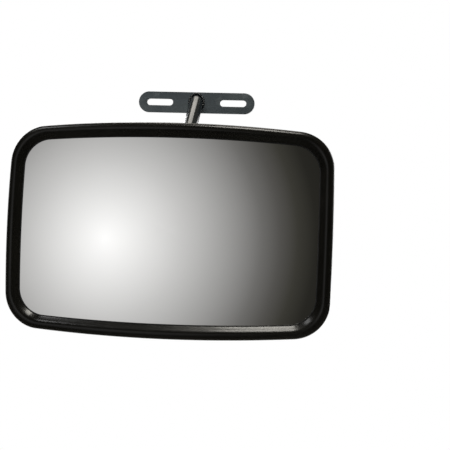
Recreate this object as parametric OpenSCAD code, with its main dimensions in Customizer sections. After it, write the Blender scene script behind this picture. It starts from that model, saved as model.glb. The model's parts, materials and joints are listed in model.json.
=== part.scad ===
// Convex security mirror on a bent tube wall bracket, with a clamp, a tilt yoke and a roll pivot.
// Origin: centre of the wall plate's back face. +Z is up and the mirror faces -Y.

/* [Mirror head] */
// Overall width of the frame
head_w = 457.2; // [440:0.1:480]
// Overall height of the frame
head_h = 298.2; // [285:0.1:315]
// Outward bow of the left and right sides
side_bow = 2.6; // [1.5:0.1:4]
// Outward bow of the top and bottom sides
top_bow = 10.6; // [8:0.1:13]
// Corner radius of the frame
corner_r = 51.4; // [45:0.1:60]
// Radius of the sphere that the reflecting face follows
sphere_r = 1076; // [950:1:1300]
// Width of the frame seen from the front
band_w = 20; // [18:0.5:22]
// Height of the frame's crown in front of the reflecting face
crown_h = 11; // [9:0.5:12]
// Depth of the frame's outer skirt behind the reflecting face
skirt_h = 14; // [12:0.5:18]
// Thickness of the acrylic mirror
glass_t = 3; // [2:0.5:4]
// Thickness of the protective sheet behind the mirror
sheet_t = 1.5; // [1:0.5:2]
// Depth of the rear cover's flat pan behind the middle of the reflecting face
pan_depth = 50; // [48:1:60]
// Wall of the rear cover
cover_t = 3; // [2.5:0.5:3.5]
// Number of screws that hold the rear cover
cover_screw_count = 8; // [8:8:16]

/* [Wall bracket] */
// Length of the wall plate
plate_w = 190; // [180:1:210]
// Height of the wall plate, which has full round ends
plate_h = 34; // [34:1:40]
// Thickness of the wall plate
plate_t = 5; // [4:0.5:6]
// Distance between the middles of the two slots
slot_spacing = 120; // [110:1:130]
// Length of a slot, end to end
slot_l = 43; // [36:1:48]
// Width of a slot
slot_w = 11; // [9:0.5:12]
// Outside diameter of the arm tube
tube_d = 22; // [22:0.5:24]
// Wall of the arm tube
tube_wall = 2; // [1.5:0.5:2.5]
// Slope of the arm below level where it leaves the wall plate, in degrees
upper_slope = 36; // [32:1:40]
// Length from the wall plate to the corner of the arm's centre line
upper_len = 135; // [125:1:150]
// Length from the corner of the arm's centre line to the end of the tube
lower_len = 190; // [175:1:200]
// Centre line radius of the bend
bend_r = 60; // [50:1:70]

/* [Clamp and yoke] */
// Distance from the end of the tube to the middle of the clamp
clamp_from_end = 26; // [24:1:40]
// Length of the clamp along the tube
clamp_l = 30; // [26:1:32]
// Distance from the tube's axis to the tilt axis
pivot_reach = 34; // [34:1:40]
// Distance from the tilt axis to the rear face of the yoke's disc
yoke_reach = 24; // [22:1:30]
// Radius of the yoke's disc
disc_r = 28; // [24:1:32]
// Diameter of the tilt bolt and the roll bolt
bolt_d = 8; // [8:1:8]
// Outside radius of the hand knob
knob_r = 16; // [14:0.5:16]

/* [Hidden] */
$fn = 48;
black = [0.05, 0.05, 0.045];
steel = [0.72, 0.73, 0.74];
tube_r = tube_d / 2;
bore_r = tube_r - tube_wall;
run = 0.05;           // radial running clearance of pins and bores
gap = 0.15;           // clearance between pieces of the mirror head
// 32.5 degrees, whose cosine 527/625 and sine 336/625 are short decimals, so the bend's ends meet exactly
bend_angle = atan2(336, 527);
lower_slope = upper_slope + bend_angle;
lean = 90 - lower_slope;
arm_corner = [0, -plate_t - upper_len * cos(upper_slope), -upper_len * sin(upper_slope)];
arm_end = arm_corner + lower_len * [0, -cos(lower_slope), -sin(lower_slope)];
clamp_at = arm_end + clamp_from_end * [0, cos(lower_slope), sin(lower_slope)];
pivot_at = clamp_at + pivot_reach * [0, -sin(lower_slope), cos(lower_slope)];
disc_t = 3;
roll_disc_t = 1.5;
head_at = pivot_at - [0, yoke_reach + disc_t + roll_disc_t + 2 * run + pan_depth, 0];
sleeve_t = 2;
flange_t = 2;
jaw_bore_r = tube_r + run + sleeve_t + run;
jaw_r = 19;
jaw_gap = 2;
ear_t = 8;
clamp_bolt_x = 25;
clamp_bolt_r = 3;
washer_t = 1.6;
lug_w = 21.8;
lug_r = 10;
yoke_in = lug_w / 2 + 1.6;
yoke_ear_t = 3;
yoke_out = yoke_in + yoke_ear_t;
yoke_ear_r = 11;
bolt_r = bolt_d / 2;
inner_side_bow = 1.2;
inner_top_bow = 7.7;
inner_corner_r = 38;
inset_glass = 10;     // the mirror's edge lies this far inside the frame's outline
sheet_back = glass_t + 0.3 + sheet_t; // the protective sheet's back, with a thin air gap in front
plate_half = [90, 42];

// ---- Outline of the head: eight tangent arcs, symmetric about both axes ----
side_n = 3;
corner_n = 7;
top_n = 6;
quarter_n = side_n + corner_n + top_n;
loop_n = 4 * quarter_n;

function arc(c, r, a0, a1, n) =
    [for (i = [0:n - 1]) let (g = a0 + (a1 - a0) * i / n) c + r * [cos(g), sin(g)]];

// One quarter, from the middle of the right side to the middle of the top
function quarter(a, b, bow_a, bow_b, r) =
    let (
        side_r = (b * b + bow_a * bow_a) / (2 * bow_a),
        top_r = (a * a + bow_b * bow_b) / (2 * bow_b),
        side_c = [a - side_r, 0],
        top_c = [0, b - top_r],
        d = norm(side_c - top_c),
        e = (side_c - top_c) / d,
        t = (d * d + pow(top_r - r, 2) - pow(side_r - r, 2)) / (2 * d),
        h = sqrt(pow(top_r - r, 2) - t * t),
        c = top_c + e * t + h * [e[1], -e[0]],
        side_end = atan2(c[1] - side_c[1], c[0] - side_c[0]),
        top_end = atan2(c[1] - top_c[1], c[0] - top_c[0])
    )
    concat(
        arc(side_c, side_r, 0, side_end, side_n),
        arc(c, r, side_end, top_end, corner_n),
        arc(top_c, top_r, top_end, 90, top_n),
        [[0, b]]
    );

function whole(q) = concat(
    q,
    [for (i = [quarter_n - 1:-1:0]) [-q[i][0], q[i][1]]],
    [for (i = [1:quarter_n]) [-q[i][0], -q[i][1]]],
    [for (i = [quarter_n - 1:-1:1]) [q[i][0], -q[i][1]]]
);

// Outline at a distance inside the frame's outer edge, blending to the bows of the inner edge
function band_loop(inset) =
    let (k = inset / band_w)
    whole(quarter(
        head_w / 2 - inset,
        head_h / 2 - inset,
        side_bow + (inner_side_bow - side_bow) * k,
        top_bow + (inner_top_bow - top_bow) * k,
        corner_r + (inner_corner_r - corner_r) * k
    ));

// How far the sphere falls back behind its foremost point
function sag(p) = sphere_r - sqrt(sphere_r * sphere_r - p[0] * p[0] - p[1] * p[1]);
function on_sphere(loop, depth) = [for (p = loop) [p[0], sag(p) + depth, p[1]]];
function ring(inset, depth) = on_sphere(band_loop(inset), depth);
function shrunk(loop, k) = [for (p = loop) p * k];
function level(loop, y) = [for (p = loop) [p[0], y, p[1]]];

function band_faces(j0, j1, first) = [for (i = [0:loop_n - 1])
    let (
        a = first + j0 * loop_n + i,
        b = first + j0 * loop_n + (i + 1) % loop_n,
        c = first + j1 * loop_n + (i + 1) % loop_n,
        d = first + j1 * loop_n + i
    )
    each [[a, b, c], [a, c, d]]
];

// A closed ring swept round the outline: the last loop joins the first
module sweep(rings) {
    n = len(rings);
    polyhedron(
        points = [for (r = rings) each r],
        faces = [for (j = [0:n - 1]) each band_faces(j, (j + 1) % n, 0)]
    );
}

// A closed dish: loops from one middle point out to the rim and back to the other
module dish(first, rings, last) {
    n = len(rings);
    end = 1 + n * loop_n;
    polyhedron(
        points = concat([first], [for (r = rings) each r], [last]),
        faces = concat(
            [for (i = [0:loop_n - 1]) [0, 1 + (i + 1) % loop_n, 1 + i]],
            [for (j = [0:n - 2]) each band_faces(j, j + 1, 1)],
            [for (i = [0:loop_n - 1])
                [end, 1 + (n - 1) * loop_n + i, 1 + (n - 1) * loop_n + (i + 1) % loop_n]]
        )
    );
}

// ---- Placing ----
module on_clamp() {
    translate(clamp_at) rotate([-lean, 0, 0]) children();
}
module on_head() {
    translate(head_at) children();
}
// Along +Y from the origin
module along_y() {
    rotate([-90, 0, 0]) children();
}
module along_x() {
    rotate([0, 90, 0]) children();
}
// Local +Z runs back from a point of the reflecting face to the sphere's centre
module square_to_sphere(p) {
    v = [-p[0], sphere_r - sag(p), -p[1]] / sphere_r;
    translate([p[0], sag(p), p[1]])
        rotate([0, acos(v[2]), atan2(v[1], v[0])])
            children();
}
module hexagon(af, h) {
    cylinder(r = af / sqrt(3), h = h, $fn = 6);
}
module washer(ri, ro, t) {
    difference() {
        cylinder(r = ro, h = t);
        translate([0, 0, -1]) cylinder(r = ri, h = t + 2);
    }
}
module stadium(l, w) {
    square([l - w, w], center = true);
    for (s = [-1, 1]) translate([s * (l - w) / 2, 0]) circle(r = w / 2);
}

// ---- Wall bracket ----
module wall_plate() {
    color([0.2, 0.23, 0.25])
        rotate([90, 0, 0])
            linear_extrude(height = plate_t)
                difference() {
                    stadium(plate_w, plate_h);
                    for (s = [-1, 1]) translate([s * slot_spacing / 2, 0]) stadium(slot_l, slot_w);
                }
}

// The arm's centre line as a solid of radius r, in the bend's own frame: the bend turns about Z
module arm_path(r) {
    root = 25;      // carried on behind the plate's face and cut there
    tangent = bend_r * tan(bend_angle / 2);
    reach = 2 * bend_r;
    intersection() {
        rotate_extrude() translate([bend_r, 0]) circle(r = r);
        translate([0, 0, -reach / 2]) cube(reach);
        rotate(bend_angle) translate([0, -reach, -reach / 2]) cube(reach);
    }
    translate([bend_r, 0, 0]) rotate([90, 0, 0]) cylinder(r = r, h = upper_len - tangent + root);
    rotate(bend_angle)
        translate([bend_r, 0, 0])
            rotate([-90, 0, 0]) cylinder(r = r, h = lower_len - tangent);
}

module on_arm() {
    middle = (lower_slope + upper_slope) / 2;
    translate(arm_corner + bend_r / cos(bend_angle / 2) * [0, sin(middle), -cos(middle)])
        rotate([upper_slope, 0, 0])
            rotate([0, -90, 180])
                children();
}

module behind_plate_face() {
    translate([-50, -plate_t, -50]) cube([100, 100, 100]);
}

module arm_tube() {
    color(black)
        difference() {
            on_arm()
                difference() {
                    arm_path(tube_r);
                    arm_path(bore_r);
                }
            behind_plate_face();
        }
}

module weld_bead() {
    bead_w = 3.2;
    bead_h = 4;
    color(black)
        difference() {
            translate([0, -plate_t, 0])
                rotate([90 + upper_slope, 0, 0])
                    translate([0, 0, -15])
                        cylinder(r1 = tube_r + bead_w + 1.6, r2 = tube_r + 0.4, h = 30);
            translate([0, -plate_t, 0])
                rotate([90 + upper_slope, 0, 0])
                    translate([0, 0, -40]) cylinder(r = tube_r, h = 80);
            behind_plate_face();
            translate([-50, -plate_t - bead_h - 100, -50]) cube([100, 100, 100]);
            // The bead stops just short of the plate's long edges
            for (s = [0, 1])
                mirror([0, 0, s]) translate([-50, -50, plate_h / 2 - 0.3]) cube([100, 100, 100]);
        }
}

module tube_end_cap() {
    color(black)
        translate(arm_end)
            rotate([-lean, 0, 0]) {
                difference() {
                    sphere(r = tube_r);
                    translate([-20, -20, 0]) cube(40);
                }
                cylinder(r = bore_r, h = 12);
            }
}

// ---- Clamp on the lower straight: local Z runs up the tube and -Y points away from the wall ----
module clamp_sleeve() {
    sleeve_r = tube_r + run + sleeve_t;
    color([0.12, 0.12, 0.12])
        on_clamp()
            difference() {
                union() {
                    translate([0, 0, -clamp_l / 2 - flange_t - run])
                        cylinder(r = sleeve_r, h = clamp_l + 2 * flange_t + 2 * run);
                    translate([0, 0, clamp_l / 2 + run]) cylinder(r = sleeve_r + 2.5, h = flange_t);
                    translate([0, 0, -clamp_l / 2 - run - flange_t])
                        cylinder(r = sleeve_r + 2.5, h = flange_t);
                }
                translate([0, 0, -50]) cylinder(r = tube_r + run, h = 100);
                translate([0, -0.8, -50]) cube([50, 1.6, 100]);
            }
}

module jaw() {
    half = clamp_bolt_x + 8;
    difference() {
        translate([0, 0, -clamp_l / 2])
            linear_extrude(height = clamp_l)
                difference() {
                    union() {
                        circle(r = jaw_r);
                        translate([-half, 0]) square([2 * half, ear_t]);
                    }
                    circle(r = jaw_bore_r);
                    translate([-50, -99]) square([100, 99 + jaw_gap / 2]);
                }
        for (s = [-1, 1])
            translate([s * clamp_bolt_x, -5, 0])
                along_y() cylinder(r = clamp_bolt_r + 0.3, h = 30);
    }
}

module clamp_rear_jaw() {
    color(black) on_clamp() jaw();
}

module clamp_front_jaw() {
    color(black)
        on_clamp() {
            difference() {
                union() {
                    mirror([0, 1, 0]) jaw();
                    translate([-lug_w / 2, -pivot_reach, -lug_r])
                        cube([lug_w, pivot_reach - jaw_r + 3, 2 * lug_r]);
                    translate([-lug_w / 2, -pivot_reach, 0]) along_x() cylinder(r = lug_r, h = lug_w);
                }
                translate([-50, -pivot_reach, 0]) along_x() cylinder(r = bolt_r + run, h = 100);
            }
        }
}

module at_clamp_bolts(y) {
    on_clamp()
        for (s = [-1, 1]) translate([s * clamp_bolt_x, y, 0]) children();
}

module clamp_bolts() {
    head_y = ear_t + washer_t;
    color(steel)
        at_clamp_bolts(head_y)
            along_y() {
                hexagon(10, 4);
                translate([0, 0, -2 * head_y - 6.5]) cylinder(r = clamp_bolt_r, h = 2 * head_y + 6.5);
            }
}

module clamp_washers() {
    color(steel) {
        at_clamp_bolts(ear_t) along_y() washer(clamp_bolt_r + 0.2, 6.2, washer_t);
        at_clamp_bolts(-ear_t - washer_t) along_y() washer(clamp_bolt_r + 0.2, 6.2, washer_t);
    }
}

module clamp_nuts() {
    nut_h = 5;
    color(steel)
        at_clamp_bolts(-ear_t - washer_t - nut_h)
            along_y()
                difference() {
                    hexagon(10, nut_h);
                    translate([0, 0, -1]) cylinder(r = clamp_bolt_r + 0.02, h = nut_h + 2);
                }
}

module tilt_friction_washers() {
    color([0.85, 0.85, 0.8])
        on_clamp()
            for (s = [0, 1])
                mirror([s, 0, 0])
                    translate([lug_w / 2, -pivot_reach, 0])
                        along_x() washer(bolt_r + 0.3, lug_r - 0.5, 1.5);
}

// ---- Tilt yoke, which carries the head ----
module tilt_yoke() {
    color([0.1, 0.1, 0.1])
        translate(pivot_at) {
            difference() {
                union() {
                    translate([0, -yoke_reach - disc_t, 0]) along_y() cylinder(r = disc_r, h = disc_t);
                    for (s = [0, 1])
                        mirror([s, 0, 0]) {
                            translate([yoke_in, 0, 0])
                                along_x() cylinder(r = yoke_ear_r, h = yoke_ear_t);
                            translate([yoke_in, -yoke_reach - 1, -yoke_ear_r])
                                cube([yoke_ear_t, yoke_reach + 1, 2 * yoke_ear_r]);
                        }
                }
                translate([-50, 0, 0]) along_x() cylinder(r = bolt_r + run, h = 100);
                translate([0, -yoke_reach - 10, 0]) along_y() cylinder(r = bolt_r + run, h = 14);
            }
        }
}

module tilt_bolt() {
    grip = yoke_out + washer_t + run;
    tip = 13;
    color(steel)
        translate(pivot_at) {
            translate([-grip - 5.3, 0, 0]) along_x() hexagon(13, 5.3);
            translate([-grip - 1, 0, 0]) along_x() cylinder(r = bolt_r, h = 2 * grip + 1 + tip);
        }
}

module tilt_outer_washers() {
    color(steel)
        translate(pivot_at)
            for (s = [0, 1])
                mirror([s, 0, 0])
                    translate([yoke_out, 0, 0]) along_x() washer(bolt_r + 0.2, 8.5, washer_t);
}

module roll_friction_disc() {
    color([0.85, 0.85, 0.8])
        translate(pivot_at - [0, yoke_reach + disc_t + roll_disc_t, 0])
            along_y() washer(bolt_r + 0.3, disc_r - 2, roll_disc_t);
}

knob_x = yoke_out + washer_t + 2 * run;
knob_h = 18;
insert_r = 6.5;
insert_h = 12;

module tilt_knob() {
    lobes = 6;
    color(black)
        translate(pivot_at + [knob_x, 0, 0])
            along_x()
                difference() {
                    union() {
                        cylinder(r = 9, h = knob_h);
                        translate([0, 0, 4]) cylinder(r = knob_r, h = knob_h - 7);
                        translate([0, 0, knob_h - 3]) cylinder(r1 = knob_r, r2 = knob_r - 3, h = 3);
                    }
                    translate([0, 0, -1]) cylinder(r = insert_r, h = insert_h + 1);
                    cylinder(r = bolt_r + 0.3, h = knob_h - 3);
                    for (i = [0:lobes - 1])
                        rotate(i * 360 / lobes)
                            translate([knob_r + 2.5, 0, 3.5]) cylinder(r = 5, h = knob_h);
                }
}

module knob_insert() {
    color([0.78, 0.62, 0.3])
        translate(pivot_at + [knob_x, 0, 0])
            along_x() washer(bolt_r + run, insert_r, insert_h);
}

// ---- Roll bolt through the disc, the rear cover and the backing plate ----
roll_head_y = yoke_reach - washer_t - run;
backing_t = 2.5;
nut_face = pan_depth - cover_t - backing_t;

module roll_bolt() {
    reach = pivot_at[1] - head_at[1] - roll_head_y - nut_face + 11;
    color(steel)
        translate(pivot_at - [0, roll_head_y, 0]) {
            along_y() hexagon(13, 5.3);
            rotate([90, 0, 0]) cylinder(r = bolt_r, h = reach);
        }
}

module roll_washer() {
    color(steel)
        translate(pivot_at - [0, yoke_reach - run, 0])
            along_y() washer(bolt_r + 0.2, 8.5, washer_t);
}

module roll_nut() {
    nut_h = 8;
    color(steel)
        on_head()
            translate([0, nut_face - nut_h, 0])
                along_y()
                    difference() {
                        hexagon(13, nut_h);
                        translate([0, 0, -1]) cylinder(r = bolt_r + 0.02, h = nut_h + 2);
                    }
}

function backing_screw_points() =
    [for (sx = [-1, 1], sz = [-1, 1]) [sx * (plate_half[0] - 14), sz * (plate_half[1] - 12)]];

module backing_plate() {
    r = 12;
    color(steel)
        on_head()
            translate([0, nut_face + backing_t, 0])
                rotate([90, 0, 0])
                    linear_extrude(height = backing_t)
                        difference() {
                            union() {
                                square([2 * plate_half[0], 2 * (plate_half[1] - r)], center = true);
                                square([2 * (plate_half[0] - r), 2 * plate_half[1]], center = true);
                                for (sx = [-1, 1], sz = [-1, 1])
                                    translate([sx * (plate_half[0] - r), sz * (plate_half[1] - r)])
                                        circle(r = r);
                            }
                            circle(r = bolt_r + 0.2);
                            for (p = backing_screw_points()) translate(p) circle(r = 2.55);
                        }
}

module backing_plate_screws() {
    color(steel)
        on_head()
            for (p = backing_screw_points())
                translate([p[0], pan_depth, p[1]])
                    along_y() {
                        difference() {
                            cylinder(r1 = 5, r2 = 3.8, h = 3);
                            translate([0, 0, 1.5]) hexagon(3, 2);
                        }
                        translate([0, 0, -12]) cylinder(r = 2.5, h = 12);
                    }
}

// ---- Casing of the head ----
flange_front = sheet_back + 1.2;
pan_loop = shrunk(band_loop(band_w), 0.56);

// Cover screws: evenly spread loop points, on the flange just inside the skirt
function cover_screw_points() =
    let (loop = band_loop(6), step = loop_n / cover_screw_count)
    [for (i = [0:cover_screw_count - 1]) loop[i * step + step / 2]];

module rear_cover() {
    slope_in = 17;
    color([0.07, 0.07, 0.07])
        on_head()
            difference() {
                dish(
                    [0, pan_depth - cover_t, 0],
                    [
                        level(shrunk(pan_loop, 0.98), pan_depth - cover_t),
                        ring(slope_in + 2, flange_front + 6),
                        ring(slope_in, flange_front),
                        ring(3.4, flange_front),
                        ring(3.4, flange_front + cover_t),
                        ring(slope_in - 4, flange_front + cover_t),
                        ring(slope_in - 1, flange_front + 9),
                        level(pan_loop, pan_depth)
                    ],
                    [0, pan_depth, 0]
                );
                translate([0, pan_depth - 20, 0]) along_y() cylinder(r = bolt_r + 0.2, h = 40);
                for (p = backing_screw_points())
                    translate([p[0], pan_depth - 20, p[1]]) along_y() cylinder(r = 2.7, h = 40);
                for (p = cover_screw_points())
                    square_to_sphere(p) translate([0, 0, flange_front - 5]) cylinder(r = 1.9, h = 20);
            }
}

module cover_screws() {
    color(steel)
        on_head()
            for (p = cover_screw_points())
                square_to_sphere(p)
                    translate([0, 0, flange_front + cover_t + gap]) {
                        difference() {
                            cylinder(r1 = 2.7, r2 = 2, h = 2.2);
                            translate([0, 0, 1]) hexagon(2.2, 2);
                        }
                        translate([0, 0, -10]) cylinder(r = 1.5, h = 10);
                    }
}

module bezel_frame() {
    round_n = 5;
    slope_n = 4;
    crown_in = 7;
    shoulder = 4;
    seat = -1;
    color(black)
        on_head()
            difference() {
                sweep(concat(
                    [ring(0, skirt_h), ring(0, -shoulder)],
                    // Outer round-over, a quarter of an ellipse
                    [for (i = [1:round_n]) let (g = 90 * i / round_n)
                        ring(crown_in * (1 - cos(g)), -shoulder - (crown_h - shoulder) * sin(g))],
                    // Inner slope, easing down to the lip
                    [for (i = [1:slope_n]) let (k = i / slope_n)
                        ring(crown_in + 1 + (band_w - crown_in - 2) * k,
                            -crown_h + (crown_h - 1.8) * k * k * (1.6 - 0.6 * k))],
                    [ring(band_w - 1, seat), ring(8.2, seat), ring(8.2, 1.2)],
                    [ring(8.2, flange_front - 0.1), ring(3, flange_front - 0.1), ring(3, skirt_h)]
                ));
                for (p = cover_screw_points())
                    square_to_sphere(p) translate([0, 0, flange_front - 8]) cylinder(r = 1.6, h = 20);
            }
}

module edge_gasket() {
    lip = 0.7;
    back = sheet_back + 2 * gap;
    color([0.03, 0.03, 0.03])
        on_head()
            sweep([
                ring(band_w + 0.6, -gap - lip),
                ring(8.6, -gap - lip),
                ring(8.6, back + lip),
                ring(16, back + lip),
                ring(16, back),
                ring(inset_glass - gap, back),
                ring(inset_glass - gap, -gap),
                ring(band_w + 0.6, -gap)
            ]);
}

// A sheet that follows the sphere, from one depth to another
module domed_sheet(inset, front, back) {
    steps = 7;
    edge = band_loop(inset);
    dish(
        [0, back, 0],
        concat(
            [for (i = [1:steps]) on_sphere(shrunk(edge, i / steps), back)],
            [for (i = [steps:-1:1]) on_sphere(shrunk(edge, i / steps), front)]
        ),
        [0, front, 0]
    );
}

module mirror_face() {
    color([0.8, 0.83, 0.85]) on_head() domed_sheet(inset_glass, 0, glass_t);
}

module backing_sheet() {
    color([0.35, 0.33, 0.3]) on_head() domed_sheet(inset_glass, sheet_back - sheet_t, sheet_back);
}

module foam_blocks() {
    block_r = 14;
    middle = [45, 28];
    front = sheet_back + 2 * gap + sag(middle * (1 + block_r / norm(middle)));
    color([0.25, 0.25, 0.27])
        on_head()
            for (sx = [-1, 1], sz = [-1, 1])
                translate([sx * middle[0], front, sz * middle[1]])
                    along_y() cylinder(r = block_r, h = nut_face - front);
}

wall_plate();
arm_tube();
weld_bead();
tube_end_cap();
clamp_sleeve();
clamp_rear_jaw();
clamp_front_jaw();
clamp_bolts();
clamp_washers();
clamp_nuts();
tilt_friction_washers();
tilt_yoke();
tilt_bolt();
tilt_outer_washers();
roll_friction_disc();
tilt_knob();
knob_insert();
roll_bolt();
roll_washer();
roll_nut();
backing_plate();
backing_plate_screws();
rear_cover();
cover_screws();
bezel_frame();
edge_gasket();
mirror_face();
backing_sheet();
foam_blocks();
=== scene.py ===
"""Looks of the convex security mirror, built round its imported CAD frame."""
import json
import math

import bmesh
import bpy
import numpy as np
from mathutils import Matrix, Vector


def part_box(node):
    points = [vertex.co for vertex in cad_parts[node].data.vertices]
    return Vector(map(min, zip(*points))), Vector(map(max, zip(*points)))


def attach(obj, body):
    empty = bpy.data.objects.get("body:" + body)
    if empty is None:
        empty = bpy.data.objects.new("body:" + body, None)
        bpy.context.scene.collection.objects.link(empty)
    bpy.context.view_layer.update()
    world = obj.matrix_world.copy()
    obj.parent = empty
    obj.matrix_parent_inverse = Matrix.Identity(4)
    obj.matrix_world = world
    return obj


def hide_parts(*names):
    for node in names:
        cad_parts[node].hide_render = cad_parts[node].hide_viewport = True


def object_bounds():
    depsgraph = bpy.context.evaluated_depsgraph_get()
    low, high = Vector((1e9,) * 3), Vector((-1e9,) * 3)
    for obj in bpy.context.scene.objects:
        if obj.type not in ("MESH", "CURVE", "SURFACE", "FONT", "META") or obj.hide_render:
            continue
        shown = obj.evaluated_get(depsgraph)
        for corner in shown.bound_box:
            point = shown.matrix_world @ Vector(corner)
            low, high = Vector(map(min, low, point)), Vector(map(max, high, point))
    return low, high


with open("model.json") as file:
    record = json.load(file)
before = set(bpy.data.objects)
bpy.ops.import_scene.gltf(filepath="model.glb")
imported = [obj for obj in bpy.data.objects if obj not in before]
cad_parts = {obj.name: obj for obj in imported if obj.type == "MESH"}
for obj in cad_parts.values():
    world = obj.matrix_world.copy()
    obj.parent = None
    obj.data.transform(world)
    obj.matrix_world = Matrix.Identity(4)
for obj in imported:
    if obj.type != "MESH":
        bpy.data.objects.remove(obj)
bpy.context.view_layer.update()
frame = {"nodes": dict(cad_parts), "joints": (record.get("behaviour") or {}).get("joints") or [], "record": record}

MM = 0.001

# ---- What the frame says ----
JOINTS = {j["name"]: j for j in frame["joints"]}
MOUNTS = {m["name"]: m for m in frame["record"]["mounts"]}
clamp_at = Vector(JOINTS["pan_swivel"]["pos_m"])
tube_up = Vector(JOINTS["pan_swivel"]["axis"]).normalized()
pivot_at = Vector(JOINTS["head_tilt"]["pos_m"])
tube_lo, tube_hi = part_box("arm_tube")
tube_r = (tube_hi[0] - tube_lo[0]) / 2
bezel_lo, bezel_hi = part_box("bezel_frame")
head_half = ((bezel_hi[0] - bezel_lo[0]) / 2, (bezel_hi[2] - bezel_lo[2]) / 2)
head_z = (bezel_hi[2] + bezel_lo[2]) / 2
apex_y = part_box("mirror_face")[0][1]
pan_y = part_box("roll_friction_disc")[0][1]

# ---- Design values that the boxes don't give, in metres ----
SPHERE_R = 1.076              # sphere that the reflecting face follows; depths are measured behind it
BAND_W = 0.020                # width of the frame from the front
OUTER_BOW = (0.0026, 0.0106)  # outward bow of the frame's sides, and of its top and bottom
INNER_BOW = (0.0012, 0.0077)
OUTER_CORNER = 0.0514
INNER_CORNER = 0.0380
CROWN_H = 0.0108              # height of the frame's crown in front of the face
SHOULDER = 0.004              # height at which the skirt starts to round over
SKIRT_H = 0.014
GLASS_IN = 0.010              # how far the mirror's edge lies inside the frame's outline
GLASS_T = 0.003
SHEET_FRONT = 0.0033
SHEET_BACK = 0.0048
FLANGE_FRONT = 0.006
COVER_T = 0.003
UPPER_SLOPE = math.radians(36)
BEND_R = 0.060
TUBE_WALL = 0.002
LINER_R = 0.01105             # inner radius of the split liner, just clear of the tube
CLAMP_L = 0.030
CLAMP_EAR_T = 0.008
BOLT_HOLE_R = 0.0043          # radius of the holes for the tilt bolt and the roll bolt
NEAR_AXIS = 0.0001            # radius that closes a turned shape near its axis

# ---- Materials ----


def node(tree, kind, **settings):
    """A new node with its named settings."""
    made = tree.nodes.new(kind)
    for key, value in settings.items():
        setattr(made, key, value)
    return made


def set_inputs(target, values):
    """Uniform values of a node's named inputs."""
    for name, value in values.items():
        target.inputs[name].default_value = value


def ramp(tree, source, low, high, start=0.0, stop=1.0):
    """Maps a value between start and stop to one between low and high."""
    mapped = node(tree, "ShaderNodeMapRange")
    tree.links.new(source, mapped.inputs["Value"])
    set_inputs(mapped, {"From Min": start, "From Max": stop, "To Min": low, "To Max": high})
    return mapped.outputs["Result"]


def noise(tree, coords, scale, detail=3.0, stretch=(1, 1, 1)):
    """Noise over the object's own metres."""
    mapping = node(tree, "ShaderNodeMapping")
    set_inputs(mapping, {"Scale": stretch})
    tree.links.new(coords, mapping.inputs["Vector"])
    made = node(tree, "ShaderNodeTexNoise")
    set_inputs(made, {"Scale": scale, "Detail": detail})
    tree.links.new(mapping.outputs["Vector"], made.inputs["Vector"])
    return made.outputs["Fac"]


def finish(name, dark, light, rough, metal=0.0, coat=0.0, coat_rough=0.05, spec=0.5,
           patch=25.0, grain=600.0, grain_depth=0.02, stretch=(1, 1, 1), wear=None):
    """A finish: two tones in patches, a roughness that varies, and a fine bumped grain.

    patch and grain are noise scales; wear is the tone of rubbed spots and how much of it shows."""
    mat = bpy.data.materials.new(name)
    mat.use_nodes = True
    tree = mat.node_tree
    tree.nodes.clear()
    out = node(tree, "ShaderNodeOutputMaterial")
    shader = node(tree, "ShaderNodeBsdfPrincipled")
    tree.links.new(shader.outputs["BSDF"], out.inputs["Surface"])
    coords = node(tree, "ShaderNodeTexCoord").outputs["Object"]
    tone = noise(tree, coords, patch, 4.0, stretch)
    mix = node(tree, "ShaderNodeMix", data_type="RGBA")
    tree.links.new(ramp(tree, tone, 0, 1, 0.35, 0.65), mix.inputs["Factor"])
    set_inputs(mix, {"A": (*dark, 1), "B": (*light, 1)})
    colour = mix.outputs["Result"]
    fine = noise(tree, coords, grain, 2.0, stretch)
    if wear:
        # Rubbed spots where another noise peaks
        rub = noise(tree, coords, patch * 3.1, 6.0)
        over = node(tree, "ShaderNodeMix", data_type="RGBA")
        tree.links.new(ramp(tree, rub, 0, wear[1], 0.62, 0.72), over.inputs["Factor"])
        tree.links.new(colour, over.inputs["A"])
        set_inputs(over, {"B": (*wear[0], 1)})
        colour = over.outputs["Result"]
    tree.links.new(colour, shader.inputs["Base Color"])
    smudge = noise(tree, coords, patch * 1.7, 5.0)
    tree.links.new(ramp(tree, smudge, rough[0], rough[1], 0.3, 0.7), shader.inputs["Roughness"])
    bump = node(tree, "ShaderNodeBump")
    set_inputs(bump, {"Strength": grain_depth, "Distance": 0.0004})
    tree.links.new(fine, bump.inputs["Height"])
    tree.links.new(bump.outputs["Normal"], shader.inputs["Normal"])
    set_inputs(shader, {"Metallic": metal, "IOR": 1.5, "Specular IOR Level": spec,
                        "Coat Weight": coat, "Coat Roughness": coat_rough})
    return mat


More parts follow.
